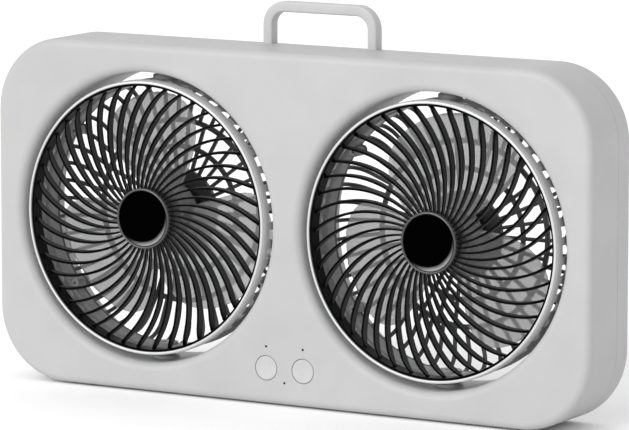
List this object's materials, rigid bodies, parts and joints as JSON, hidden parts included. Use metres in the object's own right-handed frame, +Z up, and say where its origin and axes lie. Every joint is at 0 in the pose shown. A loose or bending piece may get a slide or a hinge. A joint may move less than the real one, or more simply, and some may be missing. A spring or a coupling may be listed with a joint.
{
  "type": "dual-head table fan",
  "caption": "Portable table fan with round fan heads that swivel in the through-holes of a flat rounded housing, with a carrying handle and push buttons.",
  "frame": {"origin": "under the middle of the fan, on the plane that its rubber feet stand on", "axes": "+X to the right seen from the front, along the housing's width; the fan blows towards -Y; +Z up"},
  "size_m": [0.44, 0.056, 0.2572],
  "materials": {
    "shell_plastic": "satin light grey",
    "screw_steel": "plated",
    "foot_rubber": "matte",
    "black_plastic": "matte",
    "light_plastic": "unlit light pipe",
    "board": "green circuit board",
    "cell_sleeve": "shrink sleeve",
    "port_steel": "drawn steel shell",
    "pin_steel": "ground",
    "ring_metal": "bright satin plating",
    "grille_plastic": "black semi-gloss",
    "cap_plastic": "dark grey semi-gloss",
    "disc_plastic": "gloss black",
    "drum_plastic": "dark grey satin",
    "bush_plastic": "dark acetal",
    "motor_can": "dark zinc",
    "fan_plastic": "smoky translucent"
  },
  "bodies": {
    "housing": {"front_shell": "shell_plastic", "rear_shell": "shell_plastic", "handle": "shell_plastic", "handle_screws": "screw_steel", "case_screws": "screw_steel", "rubber_feet": "foot_rubber", "left_switch": "black_plastic", "right_switch": "black_plastic", "indicator_lights": "light_plastic", "control_board": "board", "board_screws": "screw_steel", "battery_cells": "cell_sleeve", "battery_tray": "black_plastic", "charging_port": "port_steel", "port_board": "board", "left_pivot_pins": "pin_steel", "right_pivot_pins": "pin_steel"},
    "left_push": {"left_button": "shell_plastic"},
    "right_push": {"right_button": "shell_plastic"},
    "left_head": {"left_trim_ring": "ring_metal", "left_front_grille": "grille_plastic", "left_hub_cap": "cap_plastic", "left_hub_disc": "disc_plastic", "left_drum": "drum_plastic", "left_pivot_bushes": "bush_plastic", "left_rear_guard": "drum_plastic", "left_guard_screws": "screw_steel", "left_motor": "motor_can", "left_motor_screws": "screw_steel"},
    "right_head": {"right_trim_ring": "ring_metal", "right_front_grille": "grille_plastic", "right_hub_cap": "cap_plastic", "right_hub_disc": "disc_plastic", "right_drum": "drum_plastic", "right_pivot_bushes": "bush_plastic", "right_rear_guard": "drum_plastic", "right_guard_screws": "screw_steel", "right_motor": "motor_can", "right_motor_screws": "screw_steel"},
    "left_impeller": {"left_fan": "fan_plastic", "left_motor_shaft": "pin_steel"},
    "right_impeller": {"right_fan": "fan_plastic", "right_motor_shaft": "pin_steel"}
  },
  "joints": [
    {"name": "left_swivel", "type": "hinge", "parent": "housing", "child": "left_head", "pos_m": [-0.1061, 0.001, 0.1152], "axis": [0, 0, 1], "range_deg": [-90, 90]},
    {"name": "right_swivel", "type": "hinge", "parent": "housing", "child": "right_head", "pos_m": [0.1061, 0.001, 0.1152], "axis": [0, 0, 1], "range_deg": [-90, 90]},
    {"name": "left_spin", "type": "hinge", "parent": "left_head", "child": "left_impeller", "pos_m": [-0.1061, 0, 0.1152], "axis": [0, -1, 0], "continuous": true},
    {"name": "right_spin", "type": "hinge", "parent": "right_head", "child": "right_impeller", "pos_m": [0.1061, 0, 0.1152], "axis": [0, -1, 0], "continuous": true},
    {"name": "left_press", "type": "slide", "parent": "housing", "child": "left_push", "axis": [0, 1, 0], "range_m": [0, 0.0008], "stiffness_N_per_m": 600, "springref_m": -0.001},
    {"name": "right_press", "type": "slide", "parent": "housing", "child": "right_push", "axis": [0, 1, 0], "range_m": [0, 0.0008], "stiffness_N_per_m": 600, "springref_m": -0.001}
  ]
}
